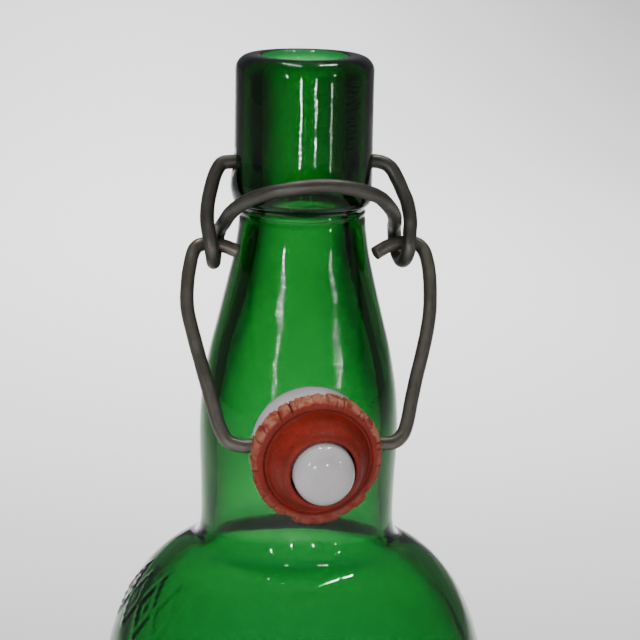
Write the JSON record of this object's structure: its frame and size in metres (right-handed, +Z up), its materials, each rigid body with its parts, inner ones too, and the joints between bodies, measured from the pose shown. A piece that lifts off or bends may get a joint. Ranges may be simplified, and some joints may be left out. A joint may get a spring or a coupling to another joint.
{
  "type": "swing top bottle",
  "caption": "Round green glass bottle with a swing top: a porcelain stopper and rubber washer hang from a wire bail on a wire lever hinged in the mouth's thick rim.",
  "frame": {"origin": "centre of the bottle's footprint, on the plane it stands on", "axes": "+Z up along the bottle's axis to its mouth; the stopper hangs at the front, -Y; +X runs along the wires' hinge axes, to the right when the front is faced"},
  "size_m": [0.078, 0.0809, 0.29],
  "materials": {
    "green_glass": "clear, glossy, slightly hammered",
    "lever_steel": "aged dark bronze-grey, dull",
    "bail_steel": "aged brown-grey, dull sheen",
    "porcelain": "glossy white glaze",
    "red_rubber": "aged, matt, cracked rim"
  },
  "bodies": {
    "bottle": {"glass_bottle": "green_glass"},
    "lever": {"lever_wire": "lever_steel"},
    "bail": {"bail_wire": "bail_steel"},
    "stopper": {"stopper_head": "porcelain", "rubber_washer": "red_rubber"}
  },
  "joints": [
    {"name": "lever_swing", "type": "hinge", "parent": "bottle", "child": "lever", "pos_m": [0, 0, 0.2689], "axis": [1, 0, 0], "range_deg": [-35, 0]},
    {"name": "bail_swing", "type": "hinge", "parent": "lever", "child": "bail", "pos_m": [0, -0.0045, 0.2534], "axis": [1, 0, 0], "range_deg": [-105, 0]},
    {"name": "stopper_tilt", "type": "hinge", "parent": "bail", "child": "stopper", "pos_m": [-0.0014, -0.02785, 0.2187], "axis": [1, 0, 0], "range_deg": [-30, 8]}
  ]
}
